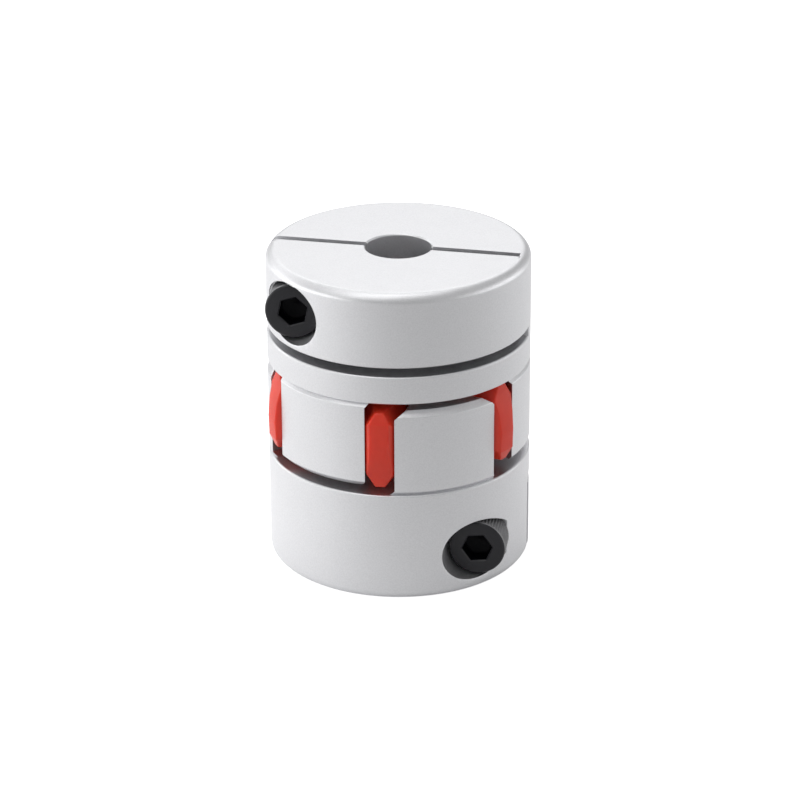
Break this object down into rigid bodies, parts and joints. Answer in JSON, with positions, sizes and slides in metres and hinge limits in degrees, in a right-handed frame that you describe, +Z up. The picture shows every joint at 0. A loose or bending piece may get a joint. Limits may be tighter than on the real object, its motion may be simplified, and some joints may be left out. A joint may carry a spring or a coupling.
{
  "type": "jaw coupling",
  "caption": "Clamp-type jaw coupling with a red crowned spider between two slit aluminium hubs.",
  "frame": {"origin": "centre of the lower end face, on the bore axis", "axes": "+Z up along the bore axis, +X through the middle of one upper jaw"},
  "size_m": [0.04, 0.0416, 0.0495],
  "materials": {
    "anodised_aluminium": "fine blasted, clear anodised",
    "red_polyurethane": "satin moulded",
    "black_steel": "black oxide"
  },
  "bodies": {
    "root": {"lower_hub": "anodised_aluminium", "upper_hub": "anodised_aluminium", "spider": "red_polyurethane", "lower_screw": "black_steel", "upper_screw": "black_steel"}
  },
  "joints": []
}
